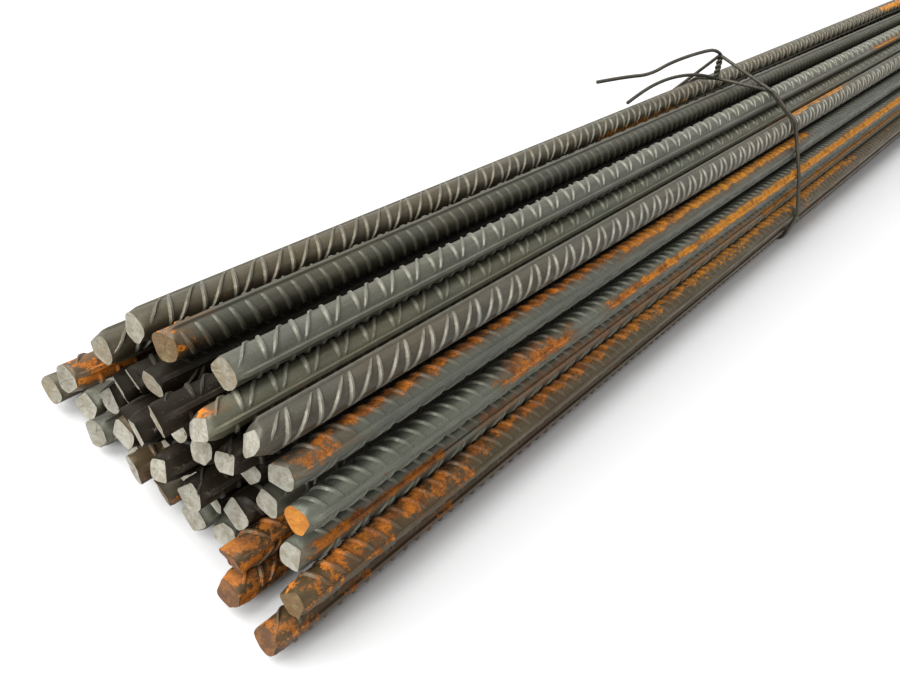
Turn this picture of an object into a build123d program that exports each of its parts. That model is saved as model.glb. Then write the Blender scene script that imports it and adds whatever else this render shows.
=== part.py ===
"""Bundle of ribbed steel reinforcing bars held by two twisted tie wires. Millimetres, +Z up.

The bars lie along X with their sheared near ends at -X, and the origin is under the middle of the
bundle, on the surface that it rests on. The bars are straight and lie nearly side by side. They
spread a little towards the near end, so each one leans by a small angle of its own.
"""
import math
import os

from build123d import *

# Rolled bars, sheared to one length
bar_diameter = 12.0
bar_length = 2000.0

# Sheared end: the blade slants the face and its jaws pinch the last stretch of the bar
pinch_length = 4.5
blade_slant = 1.6

# Lay of the bundle
seat_gap = 0.3

# Tie wire: two turns round the bars, closed by a hand-twisted knot with two loose tails
wire_diameter = 2.2
tie_inset = 460.0
knot_height = 16.0
knot_radius = 2.0
tail_bend = 9.0

# Derived sizes
bar_radius = bar_diameter / 2
lay_pitch = bar_diameter + seat_gap
wire_radius = wire_diameter / 2
bed_height = wire_diameter + seat_gap + bar_radius
loop_offset = bar_radius + seat_gap + wire_radius
turn_spacing = wire_diameter + seat_gap
half_length = bar_length / 2
near_tie_x = tie_inset - half_length
rear_tie_x = half_length - tie_inset
overrun = bar_diameter

# Each bar: its place across and up at the far end, its place at the near end and how far it sticks
# out there, in lay pitches; then the turn of the shear's jaws as a share of a circle, the width
# left between the jaws as a share of the bar's and the share of the blade's slant.
bar_shares = [
    ("bar_01",  0.12, 5.09,  0.32, 5.42, -0.74, 0.30, 0.80,  0.5),
    ("bar_02",  1.42, 4.06,  2.34, 4.59, -0.49, 0.42, 0.84,  0.9),
    ("bar_03", -1.64, 4.43, -1.48, 4.86, -0.18, 0.08, 0.56,  1.0),
    ("bar_04",  0.41, 4.13,  0.61, 4.34,  0.96, 0.33, 0.62, -0.6),
    ("bar_05",  3.80, 3.78,  3.81, 3.86, -0.69, 0.27, 0.86,  0.4),
    ("bar_06", -0.57, 4.36, -0.35, 4.66,  0.45, 0.12, 0.60,  0.8),
    ("bar_07",  2.14, 3.23,  2.15, 3.48, -0.15, 0.20, 0.82, -0.4),
    ("bar_08", -1.16, 3.54, -1.13, 3.87,  0.11, 0.14, 0.55,  0.7),
    ("bar_09",  4.02, 2.76,  4.21, 2.93, -0.01, 0.38, 0.80,  0.5),
    ("bar_10", -2.45, 3.16, -2.32, 3.97, -0.69, 0.45, 0.78,  0.9),
    ("bar_11",  0.76, 3.18,  0.77, 3.31,  0.15, 0.30, 0.52,  0.6),
    ("bar_12",  2.99, 2.69,  2.89, 2.80, -0.11, 0.29, 0.58, -0.8),
    ("bar_13", -3.52, 2.37, -3.16, 2.81, -0.89, 0.35, 0.88,  0.5),
    ("bar_14", -0.24, 3.06, -0.26, 3.34,  0.13, 0.16, 0.64,  0.9),
    ("bar_15",  1.47, 2.47,  1.52, 2.64,  0.71, 0.34, 0.60, -0.5),
    ("bar_16", -1.34, 2.55, -1.18, 2.85, -0.80, 0.26, 0.56,  0.7),
    ("bar_17",  4.30, 1.79,  4.47, 1.91,  0.86, 0.41, 0.82,  0.6),
    ("bar_18",  3.30, 1.73,  3.42, 1.93, -0.11, 0.31, 0.60, -0.7),
    ("bar_19", -2.26, 2.15, -2.11, 2.30, -0.89, 0.22, 0.76,  0.4),
    ("bar_20",  0.37, 2.25,  0.34, 2.35,  0.84, 0.13, 0.62,  0.8),
    ("bar_21", -4.50, 1.02, -4.38, 1.00, -0.13, 0.37, 0.86,  0.5),
    ("bar_22",  2.30, 1.90,  2.31, 1.95,  0.40, 0.28, 0.56, -0.9),
    ("bar_23", -3.54, 1.35, -3.47, 1.48, -0.73, 0.18, 0.74,  0.8),
    ("bar_24", -0.57, 1.90, -0.60, 2.01,  0.49, 0.32, 0.78,  0.6),
    ("bar_25",  1.09, 1.54,  1.12, 1.70, -0.15, 0.24, 0.66, -0.5),
    ("bar_26", -1.49, 1.50, -1.53, 1.44, -0.37, 0.30, 0.50,  0.9),
    ("bar_27",  4.84, 0.94,  4.90, 0.97, -1.51, 0.39, 0.70,  0.4),
    ("bar_28", -2.34, 0.94, -2.40, 0.93,  0.35, 0.21, 0.72, -0.6),
    ("bar_29",  0.32, 0.89,  0.40, 0.94, -0.39, 0.27, 0.68,  0.7),
    ("bar_30",  3.84, 0.88,  3.84, 0.98, -0.12, 0.36, 0.58,  0.5),
    ("bar_31", -4.32, 0.00, -4.54, 0.00,  0.67, 0.29, 0.84,  0.7),
    ("bar_32", -0.69, 0.89, -0.61, 0.99, -0.44, 0.31, 0.80, -0.4),
    ("bar_33",  2.65, 0.95,  2.62, 0.93,  0.24, 0.25, 0.64,  0.6),
    ("bar_34",  5.40, 0.10,  5.63, 0.03,  0.56, 0.33, 0.74,  0.5),
    ("bar_35", -1.47, 0.26, -1.43, 0.30, -0.29, 0.19, 0.66,  0.8),
    ("bar_36",  1.56, 0.65,  1.53, 0.74,  0.60, 0.34, 0.80, -0.5),
    ("bar_37",  4.40, 0.04,  4.60, 0.00,  0.12, 0.28, 0.62,  0.9),
    ("bar_38", -2.70, 0.00, -2.82, 0.00,  0.61, 0.23, 0.82,  0.6),
    ("bar_39",  3.34, 0.00,  3.56, 0.00,  0.43, 0.40, 0.68,  0.7),
    ("bar_40",  0.79, 0.00,  0.80, 0.00,  0.13, 0.30, 0.76, -0.8),
    ("bar_41",  2.33, 0.00,  2.22, 0.00, -0.06, 0.26, 0.60,  0.5),
    ("bar_42", -0.22, 0.00, -0.38, 0.00, -0.11, 0.32, 0.70,  0.6),
]

# Each tie: its place along the bundle and the two bars whose groove its knot stands over
tie_rows = [
    ("front_tie_wire", near_tie_x, ("bar_05", "bar_02")),
    ("rear_tie_wire", rear_tie_x, ("bar_05", "bar_01")),
]

# Tail routes from the knot: along the bars, across and up, in knot heights
long_tail_shares = [(-1.3, 0.15, 0.35), (-3.4, 0.45, 0.0), (-5.9, 1.0, -0.55), (-7.4, 1.5, -0.8)]
short_tail_shares = [(-1.6, 0.6, 0.1), (-4.2, 0.85, 0.0), (-6.35, 0.8, -0.25)]

middle_share = (max(row[3] for row in bar_shares) + min(row[3] for row in bar_shares)) / 2
stick_shift = (max(row[5] for row in bar_shares) + min(row[5] for row in bar_shares)) / 2


def bar_centre(across, up):
    """Place of a bar's axis in the section of the bundle."""
    return (across - middle_share) * lay_pitch, bed_height + up * lay_pitch


def bar_axis(row):
    """Far and near end points of a bar's axis."""
    _, far_across, far_up, near_across, near_up, stick_out = row[:6]
    shift = (stick_out - stick_shift) * lay_pitch
    far_y, far_z = bar_centre(far_across, far_up)
    near_y, near_z = bar_centre(near_across, near_up)
    return Vector(half_length - shift, far_y, far_z), Vector(-half_length - shift, near_y, near_z)


def bar_crossing(row, x):
    """Place of a bar's axis in the section of the bundle at x."""
    far_end, near_end = bar_axis(row)
    share = (x - near_end.X) / (far_end.X - near_end.X)
    crossing = near_end + (far_end - near_end) * share
    return crossing.Y, crossing.Z


def shear_tool(centre, inward, jaw_turn, width_share, slant_share):
    """Solid that trims a bar's end to a slanted face between two pinched flanks."""
    jaw = Vector(0, math.cos(jaw_turn), math.sin(jaw_turn))
    plane = Plane(origin=centre, x_dir=inward, z_dir=inward.cross(jaw))
    half_face = width_share * bar_radius
    slant = slant_share * blade_slant
    outline = [
        (pinch_length, -bar_diameter),
        (-overrun, -bar_diameter),
        (-overrun, bar_diameter),
        (pinch_length, bar_diameter),
        (pinch_length, bar_radius),
        (slant, half_face),
        (-slant, -half_face),
        (pinch_length, -bar_radius),
    ]
    face = plane * make_face(Polyline(*outline, close=True))
    return extrude(face, amount=bar_diameter, both=True)


def make_bar(row):
    """One bar: a round rod along its axis, sheared at both ends."""
    jaw_share, width_share, slant_share = row[6:]
    far_end, near_end = bar_axis(row)
    inward = (far_end - near_end).normalized()
    jaw_turn = jaw_share * math.tau
    section = Plane(origin=near_end, z_dir=inward) * Circle(bar_radius)
    bar = extrude(section, amount=(far_end - near_end).length, dir=inward)
    bar -= shear_tool(near_end, inward, jaw_turn, width_share, slant_share)
    bar -= shear_tool(far_end, inward * -1, jaw_turn, width_share, -slant_share)
    return bar


def tie_turn(x, peak):
    """One turn of wire, drawn tight round the bars, from the peak where it is twisted and back."""
    circles = [Pos(peak.Y, peak.Z) * Edge.make_circle(wire_radius)]
    for row in bar_shares:
        circles.append(Pos(*bar_crossing(row, x)) * Edge.make_circle(loop_offset))
    section_plane = Plane(origin=(x, 0, 0), x_dir=(0, 1, 0), z_dir=(1, 0, 0))
    outline = section_plane * make_hull(circles)
    edges = outline.faces()[0].outer_wire().order_edges()
    target = Vector(x, peak.Y, peak.Z)
    arcs = [i for i, edge in enumerate(edges) if edge.geom_type == GeomType.CIRCLE]
    first = min(arcs, key=lambda i: (edges[i].arc_center - target).length)
    path = Wire(edges[first + 1:] + edges[:first])
    return sweep(Plane(origin=path @ 0, z_dir=path % 0) * Circle(wire_radius), path=path)


def knot_axis(x, knot_bars):
    """Foot and outward direction of the twisted knot, in the groove between two top bars."""
    first, second = (next(row for row in bar_shares if row[0] == name) for name in knot_bars)
    y1, z1 = bar_crossing(first, x)
    y2, z2 = bar_crossing(second, x)
    chord = Vector(0, y2 - y1, z2 - z1).normalized()
    outward = Vector(0, chord.Z, -chord.Y)
    foot = Vector(x, (y1 + y2) / 2, (z1 + z2) / 2) + outward * (loop_offset + wire_diameter)
    return foot, outward


def make_knot(foot, outward):
    """The two strands twisted tight round each other, standing up from the turns."""
    plane = Plane(origin=foot - outward * wire_diameter, x_dir=(1, 0, 0), z_dir=outward)
    return extrude(plane * Circle(knot_radius), amount=knot_height + wire_diameter)


def make_tail(start, shares, radius):
    """Loose tail of the wire, as straight runs joined by tangent bends."""
    points = [start + Vector(*share) * knot_height for share in shares]
    path = FilletPolyline(start, *points, radius=radius)
    profile = Plane(origin=path @ 0, z_dir=path % 0) * Circle(wire_radius)
    return sweep(profile, path=path)


def make_tie(x, knot_bars):
    """The whole tie wire: two turns side by side, the knot and its two tails, in one piece."""
    foot, outward = knot_axis(x, knot_bars)
    top = foot + outward * knot_height
    tight = tie_turn(x + turn_spacing / 2, foot)
    loose = tie_turn(x - turn_spacing / 2, top - outward * turn_spacing)
    long_tail = make_tail(top - outward * wire_radius, long_tail_shares, tail_bend)
    short_tail = make_tail(foot, short_tail_shares, tail_bend)
    return make_knot(foot, outward) + tight + loose + long_tail + short_tail


os.makedirs("parts", exist_ok=True)
for bar_row in bar_shares:
    export_step(make_bar(bar_row), f"parts/{bar_row[0]}.step")
for tie_name, tie_x, tie_bars in tie_rows:
    export_step(make_tie(tie_x, tie_bars), f"parts/{tie_name}.step")
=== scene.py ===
"""Looks of a bundle of ribbed reinforcing bars tied with wire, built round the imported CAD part. Metres.

Each bar is a rolled core with two lengthwise ribs, and Geometry Nodes lay its crescent ribs on it.
"""
import logging
import math
from dataclasses import dataclass, field
from enum import Enum
from functools import partial

import bpy
import numpy as np
from mathutils import Matrix, Vector


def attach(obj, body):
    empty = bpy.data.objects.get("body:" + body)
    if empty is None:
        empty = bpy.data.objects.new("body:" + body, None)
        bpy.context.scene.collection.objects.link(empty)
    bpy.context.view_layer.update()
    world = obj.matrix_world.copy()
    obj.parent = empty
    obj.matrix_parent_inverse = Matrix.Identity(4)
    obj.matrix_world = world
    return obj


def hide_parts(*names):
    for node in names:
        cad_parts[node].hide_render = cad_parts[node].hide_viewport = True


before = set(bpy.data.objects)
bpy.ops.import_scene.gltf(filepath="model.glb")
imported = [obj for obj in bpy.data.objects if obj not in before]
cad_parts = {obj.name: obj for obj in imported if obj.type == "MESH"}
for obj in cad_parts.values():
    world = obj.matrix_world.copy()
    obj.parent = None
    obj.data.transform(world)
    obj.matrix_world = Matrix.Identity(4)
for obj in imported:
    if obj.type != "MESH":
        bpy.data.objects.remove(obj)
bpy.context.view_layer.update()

log = logging.getLogger("rebar_bundle")

Colour = Spot = tuple[float, float, float]
Material, Mesh, Object = bpy.types.Material, bpy.types.Mesh, bpy.types.Object
Node, Socket, Tree = bpy.types.Node, bpy.types.NodeSocket, bpy.types.NodeTree
Feeds = dict[str | int, object]
MM = 0.001


def linear(*screen: int) -> Colour:
    """Turns red, green and blue of 0 to 255 on screen into the linear colour that shaders use."""
    shares = [value / 255 for value in screen]
    return tuple(share / 12.92 if share <= 0.04045 else ((share + 0.055) / 1.055) ** 2.4 for share in shares)


def spaced(values: dict[str, object]) -> dict[str, object]:
    """The same values, with the underscores in their names as spaces."""
    return {name.replace("_", " "): value for name, value in values.items()}


# Node trees


class Sheet:
    """Adds nodes to one tree and joins them, so that each finish reads as a short recipe."""

    def __init__(self, tree: Tree) -> None:
        """Starts on an empty tree.

        Args:
            tree: The node tree that is filled.
        """
        self.tree = tree
        self.tree.nodes.clear()

    def feed(self, socket: Socket, value: object) -> None:
        """Joins an output to a socket, or sets the socket's own value.

        Args:
            socket: The input.
            value: An output socket or a plain value. A colour of three numbers gets its alpha.
        """
        if isinstance(value, Socket):
            self.tree.links.new(value, socket)
        elif isinstance(value, tuple) and len(socket.default_value) > len(value):
            socket.default_value = (*value, 1.0)
        else:
            socket.default_value = value

    def add(self, kind: str, feeds: Feeds | None = None, **settings: object) -> Node:
        """Adds a node.

        Args:
            kind: The node's type name.
            feeds: What goes into its inputs, by name or number.
            settings: Its properties.

        Returns:
            The node.
        """
        node = self.tree.nodes.new(kind)
        for name, value in settings.items():
            setattr(node, name, value)
        for name, value in (feeds or {}).items():
            self.feed(node.inputs[name], value)
        return node

    def put(self, kind: str, feeds: Feeds | None = None, **settings: object) -> Socket:
        """Adds a node as add does, and returns its first output."""
        return self.add(kind, feeds, **settings).outputs[0]

    def math(self, operation: str, *values: object) -> Socket:
        """Result of a Math node with an operation and its values."""
        return self.put("ShaderNodeMath", dict(enumerate(values)), operation=operation)

    def plus(self, first: object, second: object) -> Socket:
        """Sum of two values."""
        return self.math("ADD", first, second)

    def minus(self, first: object, second: object) -> Socket:
        """The first value less the second."""
        return self.math("SUBTRACT", first, second)

    def times(self, first: object, second: object) -> Socket:
        """Product of two values."""
        return self.math("MULTIPLY", first, second)

    def ramp(self, value: Socket, low: float, high: float, start: float = 0.0, end: float = 1.0) -> Socket:
        """Maps low..high smoothly to start..end and clamps."""
        feeds = {"Value": value, "From Min": low, "From Max": high, "To Min": start, "To Max": end}
        return self.put("ShaderNodeMapRange", feeds, interpolation_type="SMOOTHSTEP")

    def mix(self, factor: object, first: object, second: object) -> Socket:
        """Mixes two colours, with the factor as the share of the second."""
        feeds = {"Factor": factor, 6: first, 7: second}
        return self.add("ShaderNodeMix", feeds, data_type="RGBA").outputs[2]

    def blend(self, factor: object, first: object, second: object) -> Socket:
        """Mixes two numbers, with the factor as the share of the second."""
        return self.put("ShaderNodeMix", {"Factor": factor, 2: first, 3: second}, data_type="FLOAT")

    def noise(self, place: Socket, scale: float, detail: float, roughness: float) -> Socket:
        """Noise about 0.5, by its cells per metre, its octaves and the strength of the finer ones."""
        feeds = {"Vector": place, "Scale": scale, "Detail": detail, "Roughness": roughness}
        return self.put("ShaderNodeTexNoise", feeds)

    def stretch(self, place: Socket, x: float, y: float = 1.0, z: float = 1.0) -> Socket:
        """Scales coordinates along each axis."""
        return self.put("ShaderNodeVectorMath", {0: place, 1: (x, y, z)}, operation="MULTIPLY")

    def axes(self, place: Socket) -> tuple[Socket, Socket, Socket]:
        """X, Y and Z of a place."""
        return tuple(self.add("ShaderNodeSeparateXYZ", {0: place}).outputs)

    def vector(self, **parts: object) -> Socket:
        """A place made of its X, Y and Z."""
        return self.put("ShaderNodeCombineXYZ", parts)

    def seen(self) -> Socket:
        """Masks the rays that show what they meet: those of the camera, of mirrors and of glass.

        Returns:
            The mask.
        """
        rays = self.add("ShaderNodeLightPath").outputs
        shown = self.math("MAXIMUM", rays["Is Camera Ray"], rays["Is Glossy Ray"])
        return self.math("MAXIMUM", shown, rays["Is Transmission Ray"])

    def join(self, *parts: Socket) -> Socket:
        """Joins geometries.

        Args:
            parts: The geometries, in order.

        Returns:
            The whole.
        """
        node = self.add("GeometryNodeJoinGeometry")
        for part in parts:
            self.feed(node.inputs[0], part)
        return node.outputs[0]

    def group(self, tree: Tree, **values: object) -> bpy.types.NodeOutputs:
        """Outputs of a shared group, placed with its own values by name."""
        return self.add("ShaderNodeGroup", spaced(values), node_tree=tree).outputs

    def coat(self, height: Socket, strength: float, depth: float, **values: object) -> None:
        """Adds the shader with its bump, and joins it to the material's output.

        Args:
            height: Height of the grain.
            strength: Strength of the bump.
            depth: Depth of the bump.
            values: The shader's other inputs by name.
        """
        bump = self.put("ShaderNodeBump", {"Strength": strength, "Distance": depth, "Height": height})
        shader = self.put("ShaderNodeBsdfPrincipled", {**spaced(values), "Normal": bump})
        self.add("ShaderNodeOutputMaterial", {"Surface": shader})


class Group(Sheet):
    """A node group with named inputs and outputs, filled like a sheet."""

    KINDS = {float: "Float", int: "Int", tuple: "Color"}

    def __init__(self, name: str, inputs: dict[str, object], outputs: dict[str, str],
                 kind: str = "ShaderNodeTree") -> None:
        """Makes the group.

        Args:
            name: Its name.
            inputs: Default of each input by name, or the kind of an input that has none.
            outputs: Kind of each output by name.
            kind: ShaderNodeTree or GeometryNodeTree.
        """
        super().__init__(bpy.data.node_groups.new(name, kind))
        faces = self.tree.interface
        for label, default in inputs.items():
            bare = isinstance(default, str)
            sort = default if bare else self.KINDS[type(default)]
            socket = faces.new_socket(label, in_out="INPUT", socket_type="NodeSocket" + sort)
            if not bare:
                socket.default_value = (*default, 1.0) if sort == "Color" else default
        for label, sort in outputs.items():
            faces.new_socket(label, in_out="OUTPUT", socket_type="NodeSocket" + sort)
        self.given = tuple(self.add("NodeGroupInput").outputs)[:len(inputs)]
        self.end = self.add("NodeGroupOutput").inputs

    def give(self, **values: object) -> Tree:
        """Feeds the group's outputs.

        Args:
            values: What goes out, by name.

        Returns:
            The finished tree.
        """
        for name, value in values.items():
            self.feed(self.end[name], value)
        return self.tree


def new_material(name: str) -> tuple[Material, Sheet]:
    """Starts a material.

    Args:
        name: Its name.

    Returns:
        The material and its empty sheet.
    """
    material = bpy.data.materials.new(name)
    material.use_nodes = True
    return material, Sheet(material.node_tree)


# Shared effects


SKIN = {"Colour": "Color", "Roughness": "Float", "Height": "Float"}


@dataclass(frozen=True)
class Effects:
    """The shader effects that several finishes share, each one node group."""

    band: Tree
    rust: Tree
    scale: Tree
    freckles: Tree

    @classmethod
    def build(cls) -> "Effects":
        """Builds all the groups once."""
        return cls(cls._band(), cls._rust(), cls._scale(), cls._freckles())

    @staticmethod
    def _band() -> Tree:
        """Makes the mask of one ragged rust streak, by its place along and round a bar.

        Returns:
            The group.
        """
        s = Group("Rust Streak", {
            "Place": "Vector", "Start": 0.0, "End": 0.1, "Turn": 0.25, "Spread": 0.1, "Ragged": 0.8,
            "Fade": 0.02, "Strength": 1.0}, {"Mask": "Float", "Halo": "Float"})
        place, start, end, middle, spread, ragged, fade, strength = s.given
        x, y, z = s.axes(place)
        turn = s.math("DIVIDE", s.math("ARCTAN2", z, y), math.tau)
        away = s.math("ABSOLUTE", s.math("WRAP", s.minus(turn, middle), 0.5, -0.5))
        side = s.minus(1.0, s.math("DIVIDE", away, spread))
        along = s.math("DIVIDE", s.math("MINIMUM", s.minus(x, start), s.minus(end, x)), fade)
        edge = s.math("MINIMUM", side, s.math("MINIMUM", along, 1.0))
        coarse = s.noise(s.stretch(place, 0.6), 190.0, 3.0, 0.6)
        fine = s.noise(place, 900.0, 3.0, 0.6)
        grain = s.plus(s.times(coarse, 0.7), s.times(fine, 0.3))
        rough = s.times(s.minus(grain, 0.5), ragged)
        mask = s.ramp(s.plus(edge, s.times(rough, 4.0)), 0.25, 0.5)
        halo = s.ramp(s.plus(edge, s.times(rough, 2.0)), -0.5, 0.45)
        return s.give(Mask=s.times(mask, strength), Halo=s.times(halo, strength))

    @staticmethod
    def _rust() -> Tree:
        """Makes the colour, roughness and grain of rust, which is paler away from the near end.

        Returns:
            The group.
        """
        s = Group("Rust Skin", {
            "Place": "Vector", "Bright": linear(218, 128, 30), "Amber": linear(226, 150, 44),
            "Deep": linear(116, 68, 32)}, SKIN)
        place, bright, amber, deep = s.given
        patch = s.noise(place, 150.0, 4.0, 0.6)
        crumb = s.noise(place, 1500.0, 3.0, 0.65)
        shade = s.plus(s.times(patch, 0.65), s.times(crumb, 0.35))
        far = s.ramp(s.axes(place)[0], 0.16, 0.34)
        light = s.plus(shade, s.times(far, 0.07))
        body = s.mix(s.ramp(light, 0.385, 0.6), deep, s.mix(far, bright, amber))
        pits = s.ramp(s.noise(place, 620.0, 2.0, 0.5), 0.56, 0.7)
        return s.give(Colour=s.mix(s.times(pits, 0.5), body, linear(78, 44, 20)),
                      Roughness=s.ramp(shade, 0.3, 0.7, 0.95, 0.82), Height=crumb)

    @staticmethod
    def _scale() -> Tree:
        """Makes mill scale: blotches, drawn-out streaks and specks on rolled steel.

        Returns:
            The group.
        """
        s = Group("Mill Scale", {
            "Place": "Vector", "Steel": (0.1, 0.1, 0.1), "Film": (0.1, 0.08, 0.05), "Film Share": 0.3},
            SKIN)
        place, steel, film, share = s.given
        blotch = s.noise(s.stretch(place, 0.35), 60.0, 5.0, 0.6)
        streak = s.noise(s.stretch(place, 0.12), 420.0, 3.0, 0.5)
        speck = s.noise(place, 1300.0, 3.0, 0.6)
        body = s.mix(s.times(s.ramp(blotch, 0.36, 0.66), share), steel, film)
        tone = s.plus(s.times(streak, 0.55), s.times(speck, 0.45))
        dark = s.mix(s.ramp(tone, 0.34, 0.62, 0.35, 0.0), body, linear(34, 34, 29))
        pale = s.mix(s.ramp(tone, 0.55, 0.72, 0.0, 0.22), dark, linear(150, 150, 138))
        return s.give(Colour=pale, Roughness=s.ramp(tone, 0.3, 0.7, 0.62, 0.42), Height=tone)

    @staticmethod
    def _freckles() -> Tree:
        """Makes the mask of scattered rust spots.

        Returns:
            The group.
        """
        s = Group("Rust Freckles", {"Place": "Vector", "Amount": 0.1}, {"Mask": "Float"})
        place, amount = s.given
        large = s.noise(s.stretch(place, 0.5), 75.0, 2.0, 0.5)
        small = s.noise(place, 380.0, 4.0, 0.65)
        both = s.plus(s.times(large, 0.62), s.times(small, 0.38))
        return s.give(Mask=s.ramp(s.plus(both, s.times(amount, 0.3)), 0.69, 0.76))


# Finishes


class Tone(Enum):
    """Screen colours of the rolled skin: steel, film on it and share of the film."""

    # Painted shade: this near-black tone stands for the shadow deep between the bars, painted into the skin
    # of the bars that lie there.
    SHADE = ((31, 27, 19), (40, 30, 18), 0.6)
    DARK = ((78, 78, 66), (82, 76, 56), 0.45)
    GREY = ((99, 100, 89), (95, 91, 71), 0.35)
    BLUE = ((98, 101, 90), (94, 94, 78), 0.35)
    GREEN = ((99, 101, 85), (104, 96, 68), 0.5)
    PALE = ((114, 117, 104), (108, 106, 88), 0.3)
    TAUPE = ((84, 82, 71), (86, 74, 54), 0.5)
    BROWN = ((88, 84, 68), (92, 78, 54), 0.6)
    OLIVE = ((82, 71, 43), (82, 60, 32), 0.7)
    RUSTY = ((79, 65, 38), (76, 50, 26), 0.8)


@dataclass(frozen=True)
class Streak:
    """A rust streak on one bar.

    Attributes:
        start: Distance of its start from the near end.
        end: Distance of its end.
        turn: Where it lies round the bar, as a share of a circle from +Y towards +Z.
        spread: Half its width, as a share of the circle.
        ragged: How frayed its edge is.
        strength: Its cover.
    """

    start: float
    end: float
    turn: float
    spread: float = 0.1
    ragged: float = 0.8
    strength: float = 1.0

    def inputs(self) -> dict[str, float]:
        """Its values by the names of the group's inputs."""
        return {name.capitalize(): value for name, value in vars(self).items()}


@dataclass(frozen=True)
class BarFinish:
    """Finish of one bar's rolled skin.

    Attributes:
        tone: Its colours.
        rubbed: How pale its rib crests are.
        freckles: Amount of scattered rust.
        streaks: Its rust streaks.
        gloss: Level of its specular reflection.
    """

    tone: Tone = Tone.GREY
    rubbed: float = 0.5
    freckles: float = 0.0
    streaks: tuple[Streak, ...] = ()
    gloss: float = 0.5

    def build(self, name: str, effects: Effects) -> Material:
        """Builds the material.

        Args:
            name: The material's name.
            effects: The shared groups.

        Returns:
            The material.
        """
        material, s = new_material(name)
        place = s.add("ShaderNodeAttribute", attribute_name="bar_place").outputs["Vector"]
        crest = s.add("ShaderNodeAttribute", attribute_name="crest").outputs["Fac"]
        steel, film, share = self.tone.value
        skin = s.group(effects.scale, Place=place, Steel=linear(*steel), Film=linear(*film), Film_Share=share)
        rust = s.group(effects.rust, Place=place)
        wear = s.noise(place, 260.0, 3.0, 0.6)
        rub = s.times(s.times(crest, s.ramp(wear, 0.3, 0.6, 0.45, 1.0)), self.rubbed)
        colour = s.mix(rub, skin["Colour"], linear(156, 154, 140))
        mask = halo = s.group(effects.freckles, Place=place, Amount=self.freckles)["Mask"]
        for streak in self.streaks:
            one = s.group(effects.band, Place=place, **streak.inputs())
            mask = s.math("MAXIMUM", mask, one["Mask"])
            halo = s.math("MAXIMUM", halo, one["Halo"])
        colour = s.mix(s.times(halo, 0.7), colour, linear(104, 74, 42))
        bare = s.times(crest, s.ramp(wear, 0.35, 0.6, 0.1, 0.6))
        mask = s.times(mask, s.minus(1.0, bare))
        s.coat(s.blend(mask, skin["Height"], rust["Height"]), 0.35, 0.25 * MM,
               Base_Color=s.mix(mask, colour, rust["Colour"]),
               Roughness=s.blend(mask, skin["Roughness"], rust["Roughness"]),
               Metallic=s.blend(mask, 0.7 * self.gloss, 0.0), Specular_IOR_Level=self.gloss)
        return material


class Cut(Enum):
    """Screen colours of a sheared face: metal, stain and the stain's cover."""

    CLEAN = ((164, 161, 148), (140, 134, 118), 0.15)
    STAINED = ((150, 147, 132), (134, 122, 100), 0.3)
    BROWN = ((134, 117, 82), (110, 86, 54), 0.6)
    ORANGE = ((206, 138, 46), (184, 114, 36), 0.4)
    RUSTY = ((132, 84, 36), (88, 56, 28), 0.5)

    def build(self) -> Material:
        """Builds the material of the sheared face.

        Returns:
            The material.
        """
        metal, stain, cover = self.value
        material, s = new_material("sheared_face_" + self.name.lower())
        place = s.add("ShaderNodeTexCoord").outputs["Object"]
        patch = s.noise(place, 260.0, 4.0, 0.6)
        tear = s.noise(s.stretch(place, 1.0, 0.45, 1.4), 900.0, 4.0, 0.6)
        stained = s.ramp(patch, 0.42 - 0.2 * cover, 0.66 - 0.2 * cover)
        colour = s.mix(stained, linear(*metal), linear(*stain))
        torn = s.ramp(tear, 0.34, 0.5, 0.28, 0.0)
        s.coat(s.plus(tear, patch), 0.6, 0.5 * MM,
               Base_Color=s.mix(torn, colour, linear(84, 76, 58)),
               Roughness=s.ramp(tear, 0.3, 0.7, 0.75, 0.55))
        return material


@dataclass(frozen=True)
class WireFinish:
    """Finish of the annealed tie wire."""

    steel: Colour = linear(66, 62, 52)
    worn: Colour = linear(104, 98, 84)

    def build(self, effects: Effects) -> Material:
        """Builds the material.

        Args:
            effects: The shared groups.

        Returns:
            The material.
        """
        material, s = new_material("annealed_wire")
        place = s.add("ShaderNodeTexCoord").outputs["Object"]
        skin = s.group(effects.scale, Place=place, Steel=self.steel, Film=self.worn, Film_Share=0.35)
        s.coat(skin["Height"], 0.3, 0.1 * MM, Base_Color=skin["Colour"],
               Roughness=skin["Roughness"], Metallic=0.4)
        return material


# Geometry nodes


@dataclass(frozen=True)
class RibSizes:
    """Sizes of the rolled bar: its core, its crescent ribs and its two lengthwise ridges."""

    core: float = 5.6 * MM
    height: float = 0.88 * MM
    width: float = 2.9 * MM
    top_share: float = 0.3
    sunk: float = 0.2 * MM
    span: float = math.radians(168)
    pitch: float = 7.05 * MM
    lean_steep: float = -7.2 * MM
    lean_flat: float = -17.0 * MM
    lean_row: float = 6.0 * MM
    bow: float = 5.5 * MM
    stations: int = 9
    taper_power: float = 0.45
    out_of_true: float = 0.12 * MM
    end_margin: float = 0.8 * MM
    end_fade: float = 6.5 * MM
    end_sink: float = 0.3
    core_steps: int = 24
    ridge_foot_degrees: float = 11.5
    ridge_top_degrees: float = 6.5
    ridge_wear: float = 0.55


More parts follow.
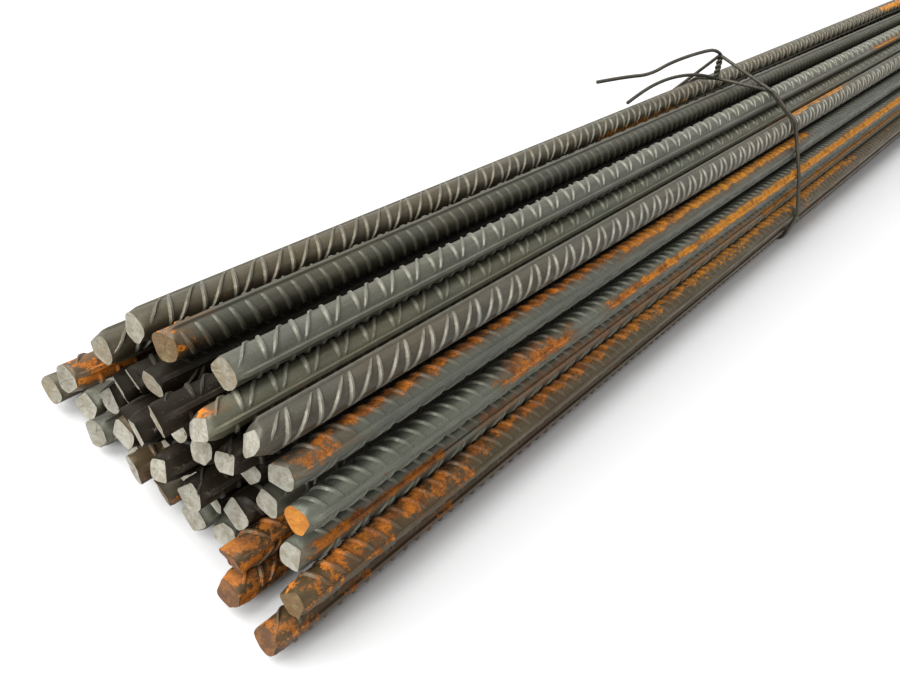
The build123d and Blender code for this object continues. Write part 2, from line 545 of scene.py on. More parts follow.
def crescent_group(sizes: RibSizes) -> Tree:
    """Geometry group that bends a small grid into one crescent rib.

    Args:
        sizes: The rib's sizes.

    Returns:
        The group, with the lean as its input.
    """
    s = Group("Crescent Rib", {
        "Core Radius": sizes.core, "Rib Height": sizes.height, "Rib Width": sizes.width,
        "Rib Span": sizes.span, "Sunk": sizes.sunk, "Lean": sizes.lean_row, "Bow": sizes.bow},
        {"Rib": "Geometry"}, "GeometryNodeTree")
    core, height, width, span, sunk, lean, bow = s.given
    grid = s.put("GeometryNodeMeshGrid", {
        "Size X": 1.0, "Size Y": 1.0, "Vertices X": sizes.stations, "Vertices Y": 4})
    around, across, _ = s.axes(s.put("GeometryNodeInputPosition"))
    full = s.math("MAXIMUM", s.math("COSINE", s.times(around, math.pi)), 0.0)
    taper = s.math("POWER", full, sizes.taper_power)
    # The grid has four rows of points, and the inner two, at a sixth from its middle, make the crest.
    on_crest = s.math("LESS_THAN", s.math("ABSOLUTE", across), 0.3)
    off_crest = s.minus(1.0, on_crest)
    step = s.plus(s.times(on_crest, sizes.top_share * 3 - 1.0), 1.0)
    breadth = s.times(s.times(across, width), s.plus(s.times(taper, 0.5), 0.5))
    shift = s.plus(s.times(around, lean), s.times(s.times(around, around), bow))
    rise = s.times(s.times(taper, height), on_crest)
    tip = s.times(s.minus(1.0, s.math("MINIMUM", s.times(taper, 4.0), 1.0)), sunk)
    radius = s.minus(s.minus(s.plus(core, rise), s.times(off_crest, sunk)), s.times(tip, on_crest))
    angle = s.times(around, span)
    bent = s.vector(X=s.plus(s.times(breadth, step), shift), Y=s.times(radius, s.math("COSINE", angle)),
                    Z=s.times(radius, s.math("SINE", angle)))
    worn = s.times(on_crest, s.math("MINIMUM", s.times(taper, 1.3), 1.0))
    marked = s.put("GeometryNodeStoreNamedAttribute", {"Geometry": grid, "Name": "crest", "Value": worn},
                   data_type="FLOAT", domain="POINT")
    rib = s.put("GeometryNodeSetPosition", {"Geometry": marked, "Position": bent})
    return s.give(Rib=s.put("GeometryNodeFlipFaces", {0: rib}))


def ribbed_bar_group(crescent: Tree, sizes: RibSizes) -> Tree:
    """Geometry tree that lays a bar's crescent ribs on its core.

    Args:
        crescent: The group that makes one rib.
        sizes: The ribs' sizes.

    Returns:
        The tree.
    """
    s = Group("Ribbed Bar", {
        "Geometry": "Geometry", "First Rib": 0.012, "Rib Pitch": sizes.pitch, "Rib Count": 10,
        "Reach": 10.0, "Bar Length": 2.0, "Steep Lean": sizes.lean_steep, "Flat Lean": sizes.lean_flat,
        "Row Lean": sizes.lean_row, "Core Radius": sizes.core, "Rib Height": sizes.height,
        "End Margin": sizes.end_margin,
        "End Fade": sizes.end_fade, "Roll": 0.0, "Seed": 1, "Steel": "Material"},
        {"Geometry": "Geometry"}, "GeometryNodeTree")
    (core, first, pitch, count, reach, length, steep, flat, even, radius, height, margin, fade, roll,
     seed, steel) = s.given
    line = s.put("GeometryNodeMeshLine", {
        "Count": count, "Start Location": s.vector(X=first), "Offset": s.vector(X=pitch)}, mode="OFFSET")
    x = s.axes(s.put("GeometryNodeInputPosition"))[0]
    before_end = s.math("LESS_THAN", x, s.minus(length, reach))
    hidden = s.times(s.math("GREATER_THAN", x, reach), before_end)
    shown = s.put("GeometryNodeDeleteGeometry", {"Geometry": line, "Selection": hidden}, domain="POINT")

    shared = {"Core Radius": radius, "Rib Height": height}

    def rib(lean: Socket) -> Socket:
        """One crescent with a lean, as an instance."""
        shape = s.put("GeometryNodeGroup", {**shared, "Lean": lean}, node_tree=crescent)
        return s.put("GeometryNodeGeometryToInstance", {0: shape})

    def row(instance: Socket, turn: Socket, shift: object, salt: int, picks: Feeds) -> Socket:
        """Lays one side's ribs, each a little out of true.

        Args:
            instance: The rib, or the two that take turns.
            turn: Where the side faces.
            shift: How far the row is moved along the bar.
            salt: What its random draws add to the bar's seed.
            picks: How the ribs take turns.

        Returns:
            The ribs.
        """
        feeds = {2: -sizes.out_of_true, 3: sizes.out_of_true, "Seed": s.plus(seed, salt)}
        jitter = s.add("FunctionNodeRandomValue", feeds, data_type="FLOAT").outputs[1]
        offset = s.vector(X=s.plus(jitter, shift))
        moved = s.put("GeometryNodeSetPosition", {"Geometry": shown, "Offset": offset})
        return s.put("GeometryNodeInstanceOnPoints", {
            "Points": moved, "Instance": instance, "Rotation": s.vector(X=turn), **picks})

    turns = {"Pick Instance": True,
             "Instance Index": s.math("MODULO", s.put("GeometryNodeInputIndex"), 2.0)}
    front = row(s.join(rib(steep), rib(flat)), roll, 0.0, 11, turns)
    back = row(rib(even), s.plus(roll, math.pi), s.times(pitch, 0.5), 23, {})
    whole = s.put("GeometryNodeRealizeInstances", {"Geometry": s.join(front, back)})
    x, y, z = s.axes(s.put("GeometryNodeInputPosition"))
    kept = s.math("MINIMUM", s.math("MAXIMUM", x, margin), s.minus(length, margin))
    close = s.math("DIVIDE", s.math("MINIMUM", kept, s.minus(length, kept)), fade)
    sink = s.times(s.minus(1.0, s.math("MINIMUM", close, 1.0)), sizes.end_sink)
    low = s.minus(1.0, sink)
    fitted = s.vector(X=kept, Y=s.times(y, low), Z=s.times(z, low))
    faded = s.put("GeometryNodeSetPosition", {"Geometry": whole, "Position": fitted})
    real = s.put("GeometryNodeRealizeInstances", {"Geometry": s.join(faded, core)})
    marked = s.put("GeometryNodeStoreNamedAttribute", {
        "Geometry": real, "Name": "bar_place", "Value": s.put("GeometryNodeInputPosition")},
        data_type="FLOAT_VECTOR", domain="POINT")
    sheared = s.put("GeometryNodeInputNamedAttribute", {"Name": "sheared"}, data_type="BOOLEAN")
    return s.give(Geometry=s.put("GeometryNodeSetMaterial", {
        "Geometry": marked, "Selection": s.math("LESS_THAN", sheared, 0.5), "Material": steel}))


def wire_group() -> Tree:
    """Geometry tree that makes round wire of a set of curves.

    Returns:
        The tree.
    """
    s = Group("Drawn Wire", {
        "Geometry": "Geometry", "Wire Radius": 1.1 * MM, "Sides": 14, "Steel": "Material"},
        {"Geometry": "Geometry"}, "GeometryNodeTree")
    route, radius, sides, steel = s.given
    ring = s.put("GeometryNodeCurvePrimitiveCircle", {"Resolution": sides, "Radius": radius})
    tube = s.put("GeometryNodeCurveToMesh", {"Curve": route, "Profile Curve": ring, "Fill Caps": True})
    real = s.put("GeometryNodeRealizeInstances", {"Geometry": tube})
    return s.give(Geometry=s.put("GeometryNodeSetMaterial", {"Geometry": real, "Material": steel}))


def placed(name: str, data: bpy.types.ID, turn: Matrix | None = None) -> Object:
    """Adds an object to the scene.

    Args:
        name: Its name.
        data: Its mesh, curve, lamp or camera.
        turn: Its place and rotation.

    Returns:
        The object.
    """
    thing = bpy.data.objects.new(name, data)
    bpy.context.scene.collection.objects.link(thing)
    if turn is not None:
        thing.matrix_world = turn
    return thing


def grow(source: Object, tree: Tree, **values: object) -> Mesh:
    """Runs a geometry tree on an object and returns the result as a plain mesh.

    Args:
        source: The object that carries the input. It is deleted.
        tree: The tree.
        values: The tree's inputs by name, with spaces written as underscores.

    Returns:
        The finished mesh.
    """
    modifier = source.modifiers.new("grow", "NODES")
    modifier.node_group = tree
    names = {item.name: item.identifier for item in tree.interface.items_tree
             if item.item_type == "SOCKET" and item.in_out == "INPUT"}
    for name, value in spaced(values).items():
        modifier[names[name]] = value
    bpy.context.view_layer.update()
    evaluated = source.evaluated_get(bpy.context.evaluated_depsgraph_get())
    mesh = bpy.data.meshes.new_from_object(evaluated)
    source.modifiers.clear()
    bpy.data.objects.remove(source)
    return mesh


def piece_of(name: str, mesh: Mesh, node: str, sharp: float) -> Object:
    """Makes a finished mesh a piece that stands for a CAD node.

    Args:
        name: The piece's name.
        mesh: Its mesh, in place.
        node: The CAD node.
        sharp: Angle past which an edge stays sharp, in degrees.

    Returns:
        The piece.
    """
    mesh.name = name
    mesh.shade_smooth()
    mesh.set_sharp_from_angle(angle=math.radians(sharp))
    piece = placed(name, mesh)
    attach(piece, "root")
    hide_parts(node)
    log.info("%s: %d faces", name, len(mesh.polygons))
    return piece


# Bars


class Place(Enum):
    """How far a bar's ribs are made from each end, in metres: hidden bars get theirs where they show."""

    OUTSIDE = 10.0
    INSIDE = 0.26


@dataclass
class Axis:
    """A bar's axis, read from its CAD node."""

    near: Vector
    far: Vector

    @classmethod
    def of(cls, node: str, slant: float) -> "Axis":
        """Reads the axis from the rings of vertices at both ends of the node.

        Args:
            node: The CAD node.
            slant: How far the sheared face's edge lies before its middle.

        Returns:
            The axis.
        """
        spots = np.array([tuple(v.co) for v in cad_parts[node].data.vertices])
        start, end = spots[:, 0].min(), spots[:, 0].max()

        def centre(side: np.ndarray) -> tuple[float, float]:
            """Finds the centre of the circle through one end's vertices.

            Args:
                side: Which vertices are of that end.

            Returns:
                Its place across and up.
            """
            ring = spots[side][:, 1:]
            rows = np.c_[2 * ring, np.ones(len(ring))]
            y, z, _ = np.linalg.lstsq(rows, (ring ** 2).sum(1), rcond=None)[0]
            return float(y), float(z)

        middle = (start + end) / 2
        return cls(Vector((start + slant, *centre(spots[:, 0] < middle))),
                   Vector((end - slant, *centre(spots[:, 0] > middle))))

    @property
    def length(self) -> float:
        """Length of the bar."""
        return (self.far - self.near).length

    def frame(self) -> Matrix:
        """Works out the matrix from the bar's own frame, X along it from the near end, to the CAD frame.

        Returns:
            The matrix.
        """
        along = (self.far - self.near).normalized()
        up = along.cross(Vector((0, 1, 0))).normalized()
        basis = Matrix((along, up.cross(along), up)).transposed().to_4x4()
        return Matrix.Translation(self.near) @ basis

    def at(self, x: float) -> tuple[float, float]:
        """Place of the axis across and up in the section at x."""
        spot = self.near.lerp(self.far, (x - self.near.x) / (self.far.x - self.near.x))
        return spot.y, spot.z


@dataclass(frozen=True)
class Shear:
    """Sizes of a sheared end, with places of the jaws' flats as shares of the core's radius."""

    slant: float = 1.6 * MM
    pinch: float = 5.5 * MM
    flat_past_pinch: float = 1.15
    flat_power: int = 9
    swell: float = 0.08
    dent_past_end: float = 1.2
    hollow: float = 0.15 * MM
    bumps: float = 0.13 * MM
    face_rings: tuple[float, ...] = (0.82, 0.56, 0.28)
    skin_depths: tuple[float, ...] = (
        0.0, 0.35 * MM, 1.0 * MM, 2.0 * MM, 3.2 * MM, 4.4 * MM, 5.6 * MM, 7.2 * MM)


@dataclass
class Bar:
    """One rolled and sheared bar.

    Attributes:
        number: Number of its CAD node.
        roll: Where the side with the paired ribs faces, as a share of a circle from +Y towards +Z.
        jaw: Turn of the shear's jaws, as a share of a circle.
        width: Width left between the jaws, as a share of the bar's.
        slant: Share of the blade's slant.
        cut: Finish of its sheared faces.
        place: Whether it shows along its whole length.
        finish: Finish of its skin.
    """

    number: int
    roll: float
    jaw: float
    width: float
    slant: float
    cut: Cut = Cut.CLEAN
    place: Place = Place.OUTSIDE
    finish: BarFinish = field(default_factory=BarFinish)
    shear: Shear = field(default_factory=Shear)
    sizes: RibSizes = field(default_factory=RibSizes)

    @property
    def node(self) -> str:
        """Name of the CAD node."""
        return f"bar_{self.number:02d}"

    def axis(self) -> Axis:
        """The bar's axis in the frame."""
        return Axis.of(self.node, abs(self.slant) * self.shear.slant)

    def section(self) -> np.ndarray:
        """Angle and radius of the core's outline, with its two lengthwise ribs.

        Returns:
            Rows of angle, radius and crest.
        """
        sizes, ridges = self.sizes, (90.0, 270.0)
        core, top = sizes.core, sizes.core + sizes.height
        angles = [step * 360.0 / sizes.core_steps for step in range(sizes.core_steps)]
        rows = [(angle, core, 0.0) for angle in angles
                if min(abs((angle - ridge + 180) % 360 - 180) for ridge in ridges) > sizes.ridge_foot_degrees]
        for ridge in ridges:
            rows += [(ridge + side * sizes.ridge_foot_degrees, core, 0.0) for side in (-1, 1)]
            rows += [(ridge + side * sizes.ridge_top_degrees, top, sizes.ridge_wear) for side in (-1, 1)]
        table = np.array(sorted(rows))
        table[:, 0] = np.radians(table[:, 0]) + self.roll * math.tau
        return table

    def ring(self, table: np.ndarray, depth: float, sense: int) -> np.ndarray:
        """Points of the core's outline at a depth behind a sheared face.

        Args:
            table: The outline.
            depth: Distance behind the face.
            sense: 1 at the near end and -1 at the far one.

        Returns:
            Points, with x as the distance behind the face.
        """
        shear, core, power = self.shear, self.sizes.core, self.shear.flat_power
        ease = min(max(depth / shear.pinch, 0.0), 1.0)
        ease = ease * ease * (3 - 2 * ease)
        jaw = np.array([math.cos(self.jaw * math.tau), math.sin(self.jaw * math.tau)])
        flat = np.array([-jaw[1], jaw[0]])
        radius = table[:, 1] * ease + np.minimum(table[:, 1], core) * (1 - ease)
        yz = np.c_[np.cos(table[:, 0]), np.sin(table[:, 0])] * radius[:, None]
        squeeze, along = yz @ jaw, yz @ flat
        limit = core * (self.width + (shear.flat_past_pinch - self.width) * ease)
        if ease < 1:
            squeeze = squeeze / (1 + np.abs(squeeze / limit) ** power) ** (1 / power)
        along = along * (1 + shear.swell * (1 - ease) * (1 - self.width))
        outline = squeeze[:, None] * jaw + along[:, None] * flat
        for turn, share, deep in self.dents(sense):
            grown = min(max(depth / deep, 0.0), 1.0)
            way = np.array([math.cos(turn), math.sin(turn)])
            over = outline @ way - core * (share + (shear.dent_past_end - share) * grown)
            outline = outline - np.maximum(over, 0.0)[:, None] * way
        slant = sense * self.slant * shear.slant * squeeze / limit * (1 - ease)
        return np.c_[depth + slant, outline]

    def dents(self, sense: int) -> list[tuple[float, float, float]]:
        """Flats that the blade has torn or pressed into an end, as turn, share of the radius and depth.

        Args:
            sense: 1 at the near end and -1 at the far one.

        Returns:
            The flats.
        """
        dice = np.random.default_rng(500 + self.number * 2 + sense)
        start = float(dice.uniform(0.0, math.tau))
        return [(start + k * math.tau / 3 + float(dice.uniform(-0.5, 0.5)), float(dice.uniform(0.66, 0.92)),
                 float(dice.uniform(2.0, 7.0)) * MM) for k in range(3)]

    def core(self, length: float, cut: Material) -> Object:
        """Builds the rolled core with its sheared ends, in the bar's own frame.

        Args:
            length: The bar's length.
            cut: Finish of the sheared faces.

        Returns:
            The core, ready for its crescent ribs.
        """
        table, shear = self.section(), self.shear
        around = len(table)
        dice = np.random.default_rng(self.number)
        points: list[tuple[float, ...]] = []
        crests: list[float] = []
        for sense, depths in ((1, shear.skin_depths), (-1, shear.skin_depths[::-1])):
            for depth in depths:
                ring = self.ring(table, depth, sense)
                if sense < 0:
                    ring[:, 0] = length - ring[:, 0]
                points += map(tuple, ring)
                crests += (table[:, 2] * min(depth / shear.pinch, 1.0)).tolist()
        faces: list[tuple[int, ...]] = []
        last_ring = len(points) - around
        for k in range(0, last_ring, around):
            for j in range(around):
                a, b = k + j, k + (j + 1) % around
                faces.append((a, b, b + around, a + around))
        skin = len(faces)
        for start, outward in ((0, -1), (last_ring, 1)):
            edge = np.array(points[start:start + around])
            middle = edge.mean(0)
            last = range(start, start + around)
            for share in shear.face_rings:
                ring = middle + (edge - middle) * share
                ring[:, 0] += dice.normal(0.0, shear.bumps, around) - outward * shear.hollow
                new = range(len(points), len(points) + around)
                points += map(tuple, ring)
                for j in range(around):
                    quad = (last[j], new[j], new[(j + 1) % around], last[(j + 1) % around])
                    faces.append(quad[::-outward])
                last = new
            for j in range(around):
                faces.append((last[j], len(points), last[(j + 1) % around])[::-outward])
            points.append(tuple(middle))
            crests += [0.0] * (len(points) - len(crests))
        mesh = bpy.data.meshes.new("core")
        mesh.from_pydata(points, [], faces)
        mesh.attributes.new("crest", "FLOAT", "POINT").data.foreach_set("value", crests)
        sheared = [index >= skin for index in range(len(faces))]
        mesh.attributes.new("sheared", "BOOLEAN", "FACE").data.foreach_set("value", sheared)
        mesh.materials.append(cut)
        return placed("core", mesh)

    def build(self, tree: Tree, cuts: dict[Cut, Material], effects: Effects) -> Object:
        """Makes the bar's piece.

        Args:
            tree: The geometry tree of its ribs.
            cuts: Finishes of sheared faces.
            effects: The shared shader groups.

        Returns:
            The piece.
        """
        axis = self.axis()
        dice = np.random.default_rng(100 + self.number)
        first = float(dice.uniform(0.2, 1.2)) * self.sizes.pitch
        count = int((axis.length - first) / self.sizes.pitch)
        steel = self.finish.build(f"rolled_skin_{self.number:02d}", effects)
        mesh = grow(self.core(axis.length, cuts[self.cut]), tree, First_Rib=first, Rib_Count=count,
                    Reach=self.place.value, Bar_Length=axis.length, Roll=self.roll * math.tau,
                    Seed=self.number, Steel=steel)
        mesh.transform(axis.frame())
        return piece_of(f"ribbed_bar_{self.number:02d}", mesh, self.node, sharp=38)


# Tie wires


@dataclass
class TieWire:
    """One tie: two turns of wire round the bars, twisted together, with two loose tails.

    Attributes:
        name: The piece's name.
        x: Where it lies along the bundle.
        between: Numbers of the two bars between which it is twisted.
        long_tail: Points of the tail from the twist's top, in heights of the twist.
        short_tail: Points of the tail from its foot.
        slack: How far the second turn stands off the top bars, between two angles in radians.
    """

    name: str
    x: float
    between: tuple[int, int]
    long_tail: tuple[Spot, ...]
    short_tail: tuple[Spot, ...]
    knot_height: float = 16.0 * MM
    radius: float = 1.1 * MM
    gap: float = 0.3 * MM
    bar_radius: float = 6.0 * MM
    turns: float = 2.5
    slack: float = 2.2 * MM
    loose_from: float = 0.9
    loose_to: float = 3.0
    loose_rate: float = 1.5
    twist_steps: int = 48
    strand_share: float = 0.95

    def twist(self, axes: list[Axis]) -> tuple[Vector, Vector]:
        """Foot and direction of the twist, over the groove between its two bars.

        Args:
            axes: The bars' axes.

        Returns:
            The foot and the direction.
        """
        first, second = (Vector((self.x, *axes[number - 1].at(self.x))) for number in self.between)
        chord = (second - first).normalized()
        outward = Vector((0.0, chord.z, -chord.y))
        lift = self.bar_radius + self.radius * 3 + self.gap
        return (first + second) / 2 + outward * lift, outward

    def hull(self, axes: list[Axis], x: float, peak: tuple[float, float], slack: float) -> list[Spot]:
        """Points of a turn round the bars at x, from the peak round and back.

        Args:
            axes: The bars' axes.
            x: Section of the turn.
            peak: Where the turn starts and ends.
            slack: How far it stands off the top bars.

        Returns:
            The points.
        """
        centres = np.array([axis.at(x) for axis in axes])
        reach = self.bar_radius + self.gap + self.radius
        spots: list[tuple[float, float]] = []
        for step in range(360):
            angle = math.radians(step)
            way = np.array([math.cos(angle), math.sin(angle)])
            score = centres @ way + reach
            best = int(score.argmax())
            swing = max(math.sin((angle - self.loose_from) * self.loose_rate), 0.0) ** 2
            loose = slack * swing if self.loose_from < angle < self.loose_to else 0.0
            if peak[0] * way[0] + peak[1] * way[1] > score[best]:
                spots.append(peak)
            else:
                spots.append(tuple(centres[best] + way * (reach + loose)))
        first = next(k for k in range(360) if spots[k] == peak and spots[k - 1] != peak)
        ordered = spots[first:] + spots[:first]
        ordered = [spot for k, spot in enumerate(ordered) if k == 0 or spot != ordered[k - 1]]
        return [(x, y, z) for y, z in ordered + [peak]]

    def strand(self, foot: Vector, lean: Vector, phase: float) -> list[Spot]:
        """Points of one of the two strands of the twist.

        Args:
            foot: The twist's foot.
            lean: Its direction.
            phase: Where the strand starts round it.

        Returns:
            The points.
        """
        side = lean.orthogonal().normalized()
        across = lean.cross(side)
        spots: list[Spot] = []
        for k in range(self.twist_steps + 1):
            share = k / self.twist_steps
            turn = phase + share * self.turns * math.tau
            away = (side * math.cos(turn) + across * math.sin(turn)) * self.radius * self.strand_share
            spots.append(tuple(foot + lean * (self.knot_height * share) + away))
        return spots

    def build(self, axes: list[Axis], tree: Tree, steel: Material) -> Object:
        """Makes the tie's piece.

        Args:
            axes: The bars' axes.
            tree: The geometry tree of round wire.
            steel: The wire's finish.

        Returns:
            The piece.
        """
        foot, lean = self.twist(axes)
        top = foot + lean * self.knot_height
        step = self.radius + self.gap / 2
        paths = [self.hull(axes, self.x + step, (foot.y, foot.z), 0.0),
                 self.hull(axes, self.x - step, (top.y, top.z), self.slack),
                 self.strand(foot, lean, 0.0), self.strand(foot, lean, math.pi)]
        tails = [[tuple(start + Vector(share) * self.knot_height) for share in ((0.0, 0.0, 0.0), *shares)]
                 for start, shares in ((top, self.long_tail), (foot, self.short_tail))]
        curve = bpy.data.curves.new(self.name, "CURVE")
        curve.dimensions = "3D"
        for path in paths + tails:
            smooth = path in tails
            spline = curve.splines.new("NURBS" if smooth else "POLY")
            spline.points.add(len(path) - 1)
            for point, spot in zip(spline.points, path):
                point.co = (*spot, 1.0)
            if smooth:
                spline.order_u = 3
                spline.use_endpoint_u = True
                spline.resolution_u = 8
        mesh = grow(placed(self.name + "_route", curve), tree, Wire_Radius=self.radius, Steel=steel)
        return piece_of(self.name, mesh, self.name + "_wire", sharp=50)


# Studio


@dataclass(frozen=True)
class Sight:
    """What the photograph, in its own pixels, says of its camera.

    Attributes:
        vanishing: Where the bars' edges meet.
        roll: Turn about the bars that makes the floor level, in degrees.
    """

    middle: tuple[float, float] = (450.0, 346.0)
    vanishing: tuple[float, float] = (1225.0, -135.0)
    focal: float = 850.0
    width: float = 900.0
    roll: float = 25.0

    def turn(self) -> Matrix:
        """Works out the camera's rotation, with the bars along X and the floor level.

        Returns:
            The rotation.
        """
        across, down = np.subtract(self.vanishing, self.middle)
        bars = np.array([across, down, self.focal])
        bars /= np.linalg.norm(bars)
        dip, roll = math.atan2(-down, self.focal), math.radians(self.roll)
        above = np.array([0.0, -math.cos(dip), -math.sin(dip)])
        beside = np.cross(bars, above)
        right = math.cos(roll) * beside - math.sin(roll) * above
        up = math.sin(roll) * beside + math.cos(roll) * above
        seen = np.column_stack([bars, -right, up]) * [[1.0], [-1.0], [-1.0]]
        return Matrix(seen.tolist()).transposed().to_4x4()


@dataclass(frozen=True)
class Studio:
    """Camera, floor, background and lights.

    Attributes:
        place: The camera's place, fitted to the bars' near faces.
        floor_pale: Level of the floor where it is seen.
        floor_dim: Its level in the light that it throws on other things.
        sky_dim: The background's level in that light.
    """

    sight: Sight = Sight()
    place: Spot = (-1.12686, -0.12184, 0.28284)
    sensor: float = 36.0
    floor_half: float = 12.0
    floor_pale: float = 0.96
    floor_dim: float = 0.3
    sky_dim: float = 0.24

    def camera(self) -> None:
        """Makes the camera at the photograph's viewing angle."""
        data = bpy.data.cameras.new("view")
        data.sensor_width = self.sensor
        data.lens = self.sensor * self.sight.focal / self.sight.width
        data.clip_start, data.clip_end = 0.01, 100.0
        turn = Matrix.Translation(self.place) @ self.sight.turn()
        bpy.context.scene.camera = placed("view", data, turn)

    def floor(self) -> None:
        """Lays the pale floor, which keeps the bundle's soft shadow."""
        half = self.floor_half
        mesh = bpy.data.meshes.new("floor")
        mesh.from_pydata([(-half, -half, 0), (half, -half, 0), (half, half, 0), (-half, half, 0)], [],
                         [(0, 1, 2, 3)])
        material, s = new_material("pale_floor")
        dim, matt = (s.put("ShaderNodeBsdfDiffuse", {"Color": (shade,) * 3})
                     for shade in (self.floor_dim, self.floor_pale))
        mixed = s.put("ShaderNodeMixShader", {0: s.seen(), 1: dim, 2: matt})
        s.add("ShaderNodeOutputMaterial", {"Surface": mixed})
        mesh.materials.append(material)
        placed("floor", mesh)

    def world(self) -> None:
        """Sets a white background and soft light from all round."""
        world = bpy.data.worlds.new("studio")
        bpy.context.scene.world = world
        world.use_nodes = True
        s = Sheet(world.node_tree)
        level = s.blend(s.seen(), self.sky_dim, 1.0)
        sky = s.put("ShaderNodeBackground", {"Color": (1.0, 1.0, 1.0), "Strength": level})
        s.add("ShaderNodeOutputWorld", {"Surface": sky})

    def lamp(self, name: str, kind: str, way: Spot, place: Spot = (0.0, 0.0, 0.0),
             **settings: object) -> None:
        """Adds a lamp.

        Args:
            name: Its name.
            kind: SUN or AREA.
            way: Direction that its light comes from.
            place: Where it stands.
            settings: Its properties.
        """
        data = bpy.data.lights.new(name, kind)
        for label, value in settings.items():
            setattr(data, label, value)
        turn = Vector(way).to_track_quat("Z", "Y").to_matrix().to_4x4()
        placed(name, data, Matrix.Translation(place) @ turn)

    def build(self) -> None:
        """Makes the whole studio, with wide light from above and a soft lamp before the near ends."""
        bpy.context.scene.view_settings.view_transform = "Standard"
        self.camera()
        self.floor()
        self.world()
        self.lamp("sky_light", "SUN", (-0.35, 0.62, 0.70), angle=math.radians(60.0), energy=3.7)
        front, aim = Vector((-2.6, 0.1, 0.9)), Vector((-1.0, 0.0, 0.05))
        self.lamp("front", "AREA", front - aim, front, shape="SQUARE", size=0.7, energy=24.0)


# The bundle


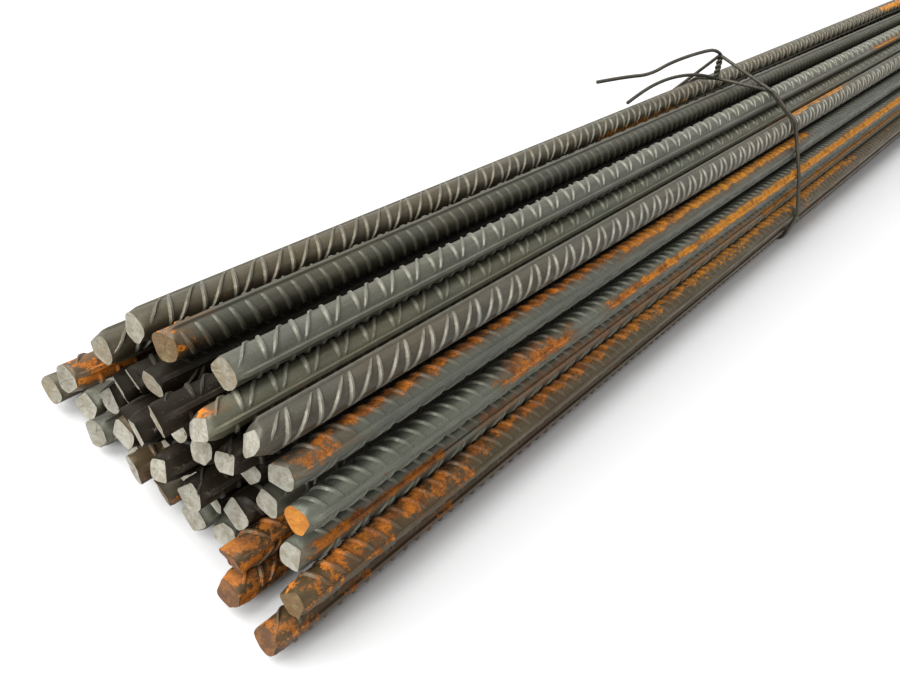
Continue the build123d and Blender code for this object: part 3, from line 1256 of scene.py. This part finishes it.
def bundle() -> list[Bar]:
    """All the bars with their own turns, ends and finishes.

    Returns:
        The bars.
    """
    _, stained, brown, orange, rusty = Cut
    grey_skin, brown_skin = BarFinish(Tone.GREY, 0.3), BarFinish(Tone.BROWN, 0.3)
    # shade is painted shade: a near-black skin with little gloss that stands for the shadow inside the
    # bundle, given to the inner bars and to bars 4, 7 and 8.
    dark, shade = BarFinish(Tone.DARK, 0.2), BarFinish(Tone.SHADE, 0.1, gloss=0.12)
    rust_skin = BarFinish(Tone.RUSTY, 0.1, 0.2)
    rusty_end = BarFinish(Tone.RUSTY, 0.1, 0.5, (Streak(-0.01, 0.045, 0.2, 0.17, 1.8, 0.65),))
    inner = partial(Bar, place=Place.INSIDE, finish=shade)
    return [
        Bar(1, 0.185, 0.30, 0.80, 0.5, stained, finish=BarFinish(Tone.GREY, 0.42, 0.0, (
            Streak(0.69, 0.78, 0.42, 0.08, 1.5, 0.8),))),
        Bar(2, 0.944, 0.42, 0.84, 0.9, brown, finish=BarFinish(Tone.DARK, 0.12, 0.0, (
            Streak(-0.01, 0.005, 0.28, 0.3, 1.1), Streak(0.0, 0.016, 0.12, 0.09, 0.7)))),
        Bar(3, 0.38, 0.08, 0.62, 1.0, finish=BarFinish(Tone.TAUPE, 0.6, 0.0, (
            Streak(0.47, 0.6, 0.13, 0.07, 1.2, 0.7),))),
        Bar(4, 0.10, 0.33, 0.62, -0.6, stained, finish=shade),
        Bar(5, 0.306, 0.27, 0.86, 0.4, finish=BarFinish(Tone.BROWN, 0.3, 0.05, (
            Streak(0.3, 0.42, 0.5, 0.06, 1.2, 0.6), Streak(0.9, 1.2, 0.3, 0.1, 1.2)))),
        Bar(6, 0.16, 0.12, 0.60, 0.8, finish=BarFinish(Tone.GREEN, 0.5, 0.04, (
            Streak(-0.01, 0.009, 0.15, 0.12), Streak(0.45, 0.61, 0.5, 0.07, 1.1, 0.7)))),
        Bar(7, 0.60, 0.20, 0.82, -0.4, stained, finish=shade),
        Bar(8, 0.05, 0.14, 0.55, 0.7, finish=shade),
        Bar(9, 0.35, 0.38, 0.80, 0.5, stained, finish=brown_skin),
        Bar(10, 0.645, 0.45, 0.78, 0.9, finish=BarFinish(Tone.BLUE, 0.2, 0.05, (
            Streak(0.0, 0.027, 0.26, 0.14, 0.9, 0.75), Streak(0.006, 0.022, 0.24, 0.08, 1.2),
            Streak(0.022, 0.24, 0.145, 0.12, 0.9), Streak(0.21, 0.494, 0.19, 0.14, 0.45)))),
        inner(11, 0.44, 0.30, 0.52, 0.6),
        inner(12, 0.12, 0.29, 0.58, -0.8),
        Bar(13, 0.65, 0.35, 0.88, 0.5, orange, finish=BarFinish(Tone.PALE, 0.25, 0.05, (
            Streak(0.107, 0.165, 0.34, 0.11, 1.1, 0.9), Streak(0.105, 0.145, 0.22, 0.16, 1.2, 0.5),
            Streak(0.19, 0.32, 0.34, 0.07), Streak(0.3, 0.8, 0.33, 0.1, 0.5)))),
        inner(14, 0.71, 0.16, 0.64, 0.9),
        inner(15, 0.33, 0.34, 0.60, -0.5),
        inner(16, 0.58, 0.26, 0.56, 0.7),
        Bar(17, 0.12, 0.41, 0.82, 0.6, finish=BarFinish(Tone.BROWN, 0.2, 0.2, (
            Streak(0.0, 0.03, 0.3, 0.3, 1.2),))),
        inner(18, 0.81, 0.31, 0.60, -0.7),
        inner(19, 0.22, 0.22, 0.76, 0.4, finish=dark),
        inner(20, 0.67, 0.13, 0.62, 0.8),
        Bar(21, 0.69, 0.37, 0.86, 0.5, brown, finish=BarFinish(Tone.OLIVE, 0.2, 0.3, (
            Streak(0.004, 0.085, 0.22, 0.15, 1.5, 0.85), Streak(0.085, 0.6, 0.17, 0.12, 1.4, 0.75)))),
        inner(22, 0.40, 0.28, 0.56, -0.9),
        Bar(23, 0.633, 0.18, 0.74, 0.8, finish=BarFinish(Tone.PALE, 0.3, 0.05, (
            Streak(0.0, 0.036, 0.365, 0.075, 0.7), Streak(0.02, 0.08, 0.37, 0.055, 0.6),
            Streak(0.09, 0.42, 0.36, 0.1, 1.5, 0.35), Streak(0.4, 0.9, 0.38, 0.06, 1.0)))),
        inner(24, 0.15, 0.32, 0.78, 0.6),
        inner(25, 0.52, 0.24, 0.66, -0.5),
        inner(26, 0.84, 0.30, 0.50, 0.9),
        Bar(27, 0.28, 0.39, 0.70, 0.4, finish=brown_skin),
        inner(28, 0.61, 0.21, 0.72, -0.6, rusty, finish=rusty_end),
        inner(29, 0.07, 0.27, 0.68, 0.7),
        inner(30, 0.47, 0.36, 0.58, 0.5),
        Bar(31, 0.17, 0.29, 0.84, 0.7, rusty, finish=BarFinish(Tone.RUSTY, 0.15, 0.3, (
            Streak(-0.01, 0.012, 0.25, 0.15, 1.6, 0.6),))),
        inner(32, 0.64, 0.31, 0.80, -0.4),
        inner(33, 0.35, 0.25, 0.64, 0.6, finish=rust_skin),
        Bar(34, 0.20, 0.33, 0.74, 0.5, stained, finish=brown_skin),
        inner(35, 0.73, 0.19, 0.66, 0.8, finish=dark),
        inner(36, 0.11, 0.34, 0.80, -0.5, finish=rust_skin),
        Bar(37, 0.56, 0.28, 0.62, 0.9, finish=dark),
        Bar(38, 0.27, 0.23, 0.82, 0.6, rusty, finish=rusty_end),
        Bar(39, 0.49, 0.40, 0.68, 0.7, finish=grey_skin),
        Bar(40, 0.03, 0.30, 0.76, -0.8, brown, finish=BarFinish(Tone.BROWN, 0.2, 0.35)),
        Bar(41, 0.36, 0.26, 0.60, 0.5, finish=brown_skin),
        Bar(42, 0.68, 0.32, 0.70, 0.6, finish=grey_skin),
    ]


def ties() -> list[TieWire]:
    """Both tie wires, with their tails.

    Returns:
        The wires.
    """
    long_tail = ((-0.6, 0.1, 0.3), (-2.0, 0.2, 0.36), (-4.0, 0.45, 0.1), (-4.6, 0.8, -0.6),
                 (-6.0, 1.1, -0.6), (-7.5, 1.5, -0.8))
    low_tail = ((-0.6, 0.1, 0.12), (-2.0, 0.3, 0.2), (-4.0, 0.5, -0.1), (-5.0, 0.8, -0.4),
                (-6.2, 1.0, -0.4), (-7.4, 1.2, -0.7))
    short_tail = ((-0.8, 0.3, 0.15), (-1.9, 0.7, 0.1), (-3.4, 0.85, 0.1), (-5.0, 0.9, -0.1),
                  (-6.3, 0.8, -0.35))
    return [TieWire("front_tie", -0.54, (5, 2), long_tail, short_tail),
            TieWire("rear_tie", 0.54, (5, 1), low_tail, short_tail)]


def main() -> None:
    """Builds the bundle, its ties and the studio, and reports each piece."""
    logging.basicConfig(level=logging.INFO, format="%(message)s")
    effects = Effects.build()
    sizes = RibSizes()
    tree = ribbed_bar_group(crescent_group(sizes), sizes)
    cuts = {cut: cut.build() for cut in Cut}
    bars = bundle()
    for bar in bars:
        bar.build(tree, cuts, effects)
    axes = [bar.axis() for bar in bars]
    steel = WireFinish().build(effects)
    round_wire = wire_group()
    for tie in ties():
        tie.build(axes, round_wire, steel)
    Studio().build()


if __name__ == "__main__":
    main()
